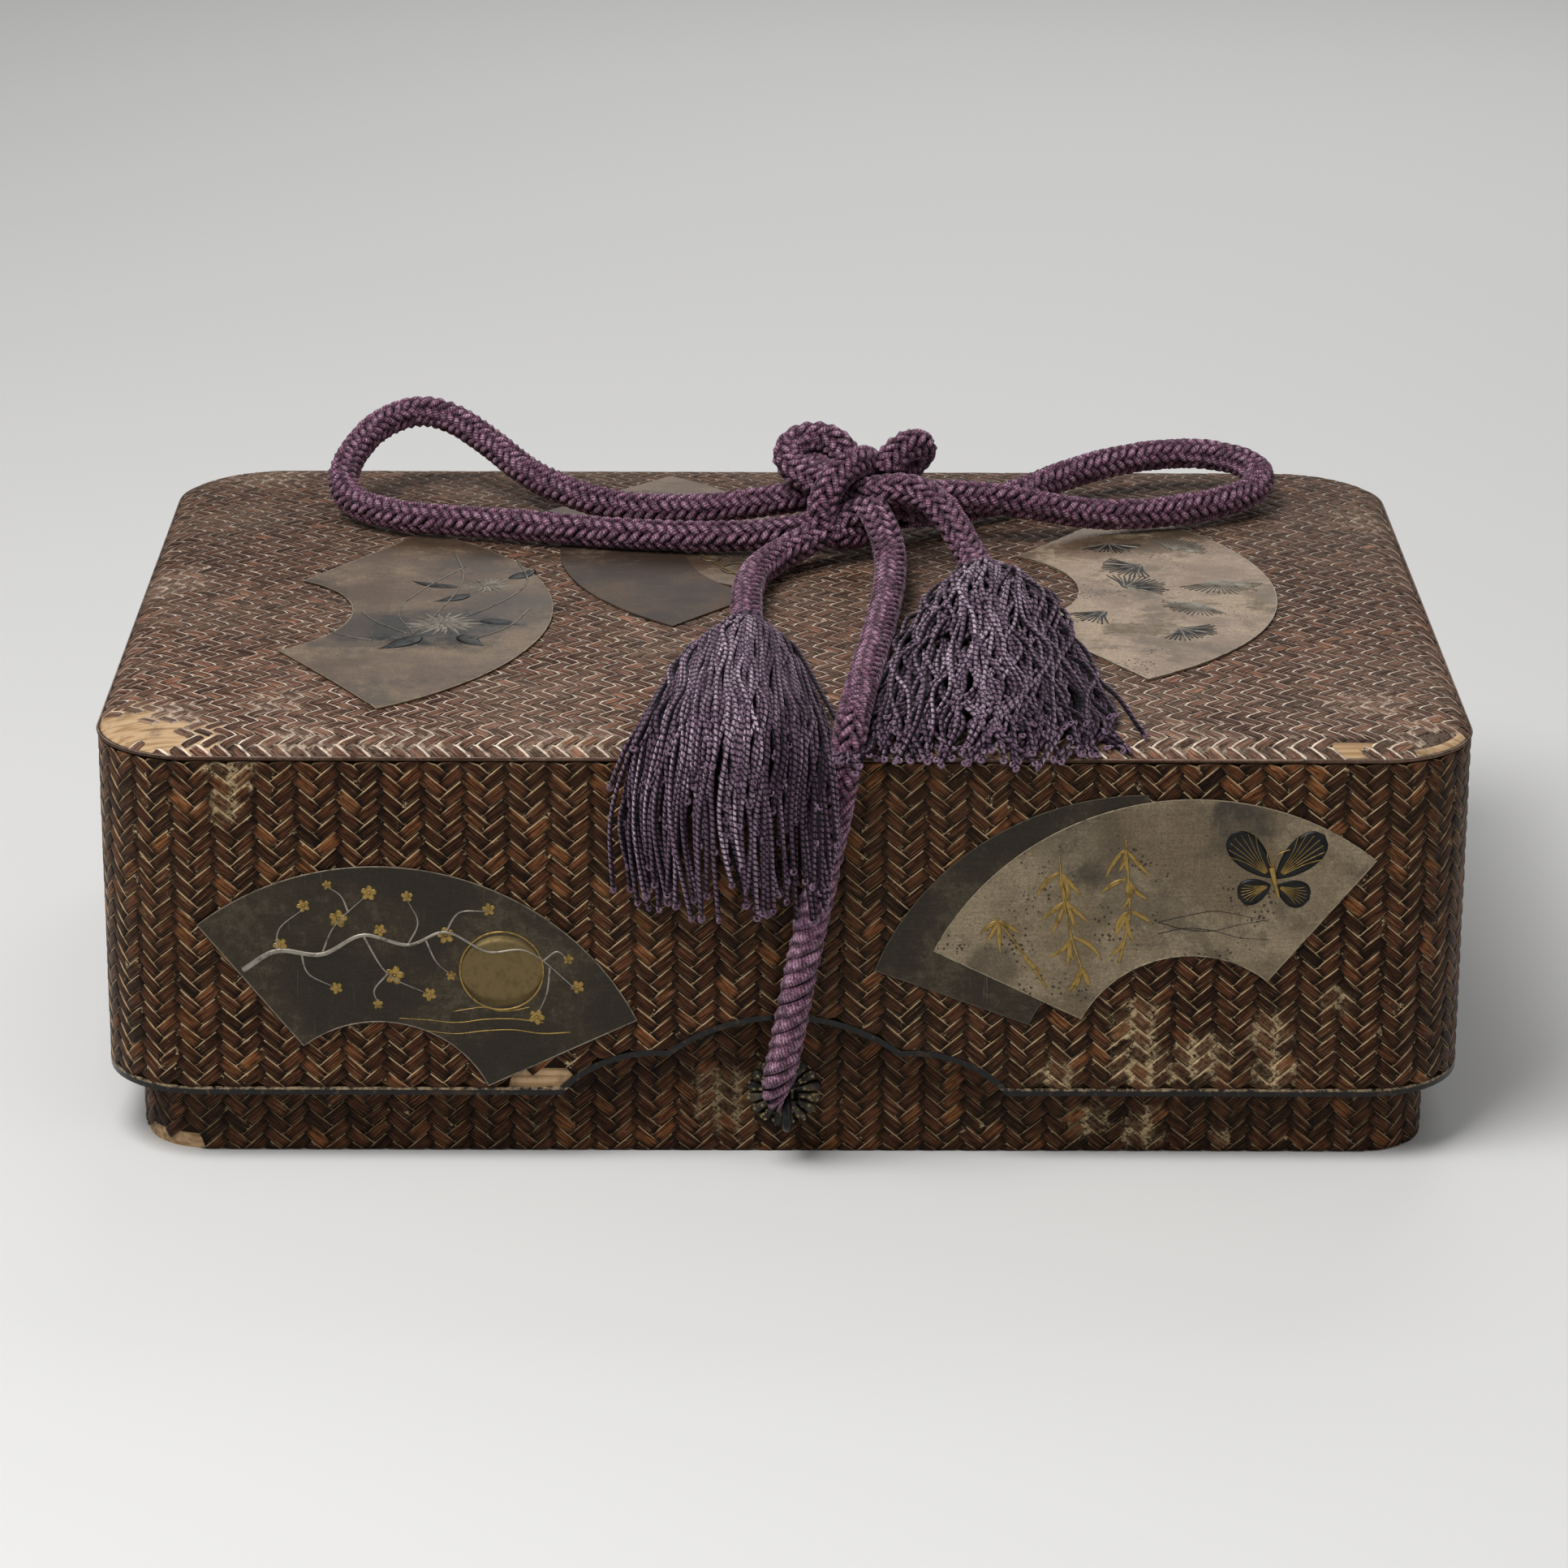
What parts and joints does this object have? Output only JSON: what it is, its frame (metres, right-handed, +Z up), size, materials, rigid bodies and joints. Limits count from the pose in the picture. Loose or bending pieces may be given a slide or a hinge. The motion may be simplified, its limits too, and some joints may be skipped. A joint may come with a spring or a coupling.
{
  "type": "stationery box",
  "caption": "Rectangular box with a deep lift-off lid in woven bamboo, fan-shaped metal plates, thumb notches and a silk cord tied in a bow with tassels.",
  "frame": {"origin": "middle of the base's underside, on the surface that the box stands on", "axes": "+Z up, -Y towards the front with the fan plates, +X to the viewer's right along the length"},
  "size_m": [0.4, 0.313, 0.1705],
  "materials": {
    "board": "bare planed softwood board",
    "bamboo": "split bamboo strips in a two-over-two twill, stained brown, worn",
    "lining": "plain pasted paper",
    "lacquer": "black lacquer on wood, rubbed at its edges",
    "fitting": "dark patinated copper alloy, dusty",
    "dark_alloy": "dark patinated copper alloy with gilt inlay",
    "grey_alloy": "grey copper and silver alloy with pits",
    "brassy_alloy": "brown patinated brass with grey patches",
    "silk": "plaited purple silk cord, matt with a low sheen"
  },
  "bodies": {
    "base": {"base_wall": "board", "base_floor": "board", "base_weave": "bamboo", "base_lining_sides": "lining", "base_lining_floor": "lining", "base_rim": "lacquer", "ring_plate_front": "fitting", "ring_plate_back": "fitting", "staple_front": "fitting", "staple_back": "fitting", "clinch_washer_front": "fitting", "clinch_washer_back": "fitting"},
    "lid": {"lid_wall": "board", "lid_top_board": "board", "lid_weave_top": "bamboo", "lid_weave_sides": "bamboo", "lid_lining_sides": "lining", "lid_lining_top": "lining", "lid_rim": "lacquer", "notch_trim_front": "lacquer", "notch_trim_back": "lacquer", "fan_front_left": "dark_alloy", "fan_front_right": "grey_alloy", "fan_front_right_under": "dark_alloy", "fan_top_left": "brassy_alloy", "fan_top_right": "grey_alloy", "fan_top_centre": "dark_alloy", "fan_top_centre_under": "brassy_alloy", "cord_front_drop": "silk", "cord_back_drop": "silk", "bow_loop_left": "silk", "bow_loop_right": "silk", "bow_ear_left": "silk", "bow_ear_right": "silk", "bow_tail_left": "silk", "bow_tail_right": "silk", "bow_knot": "silk", "tassel_binding_left": "silk", "tassel_binding_right": "silk", "tassel_left": "silk", "tassel_right": "silk"},
    "ring_front": {"ring_front": "fitting", "cord_front_foot": "silk"},
    "ring_back": {"ring_back": "fitting", "cord_back_foot": "silk"}
  },
  "joints": [
    {"name": "lid_lift", "type": "slide", "parent": "base", "child": "lid", "axis": [0, 0, 1], "range_m": [0, 0.105], "deforming": ["cord_front_drop", "cord_back_drop"]},
    {"name": "ring_front_swing", "type": "hinge", "parent": "base", "child": "ring_front", "pos_m": [0.0008, -0.1441, 0.0192], "axis": [-1, 0, 0], "range_deg": [0, 100], "deforming": ["cord_front_foot"]},
    {"name": "ring_back_swing", "type": "hinge", "parent": "base", "child": "ring_back", "pos_m": [0.0008, 0.1441, 0.0192], "axis": [1, 0, 0], "range_deg": [0, 100], "deforming": ["cord_back_foot"]}
  ]
}
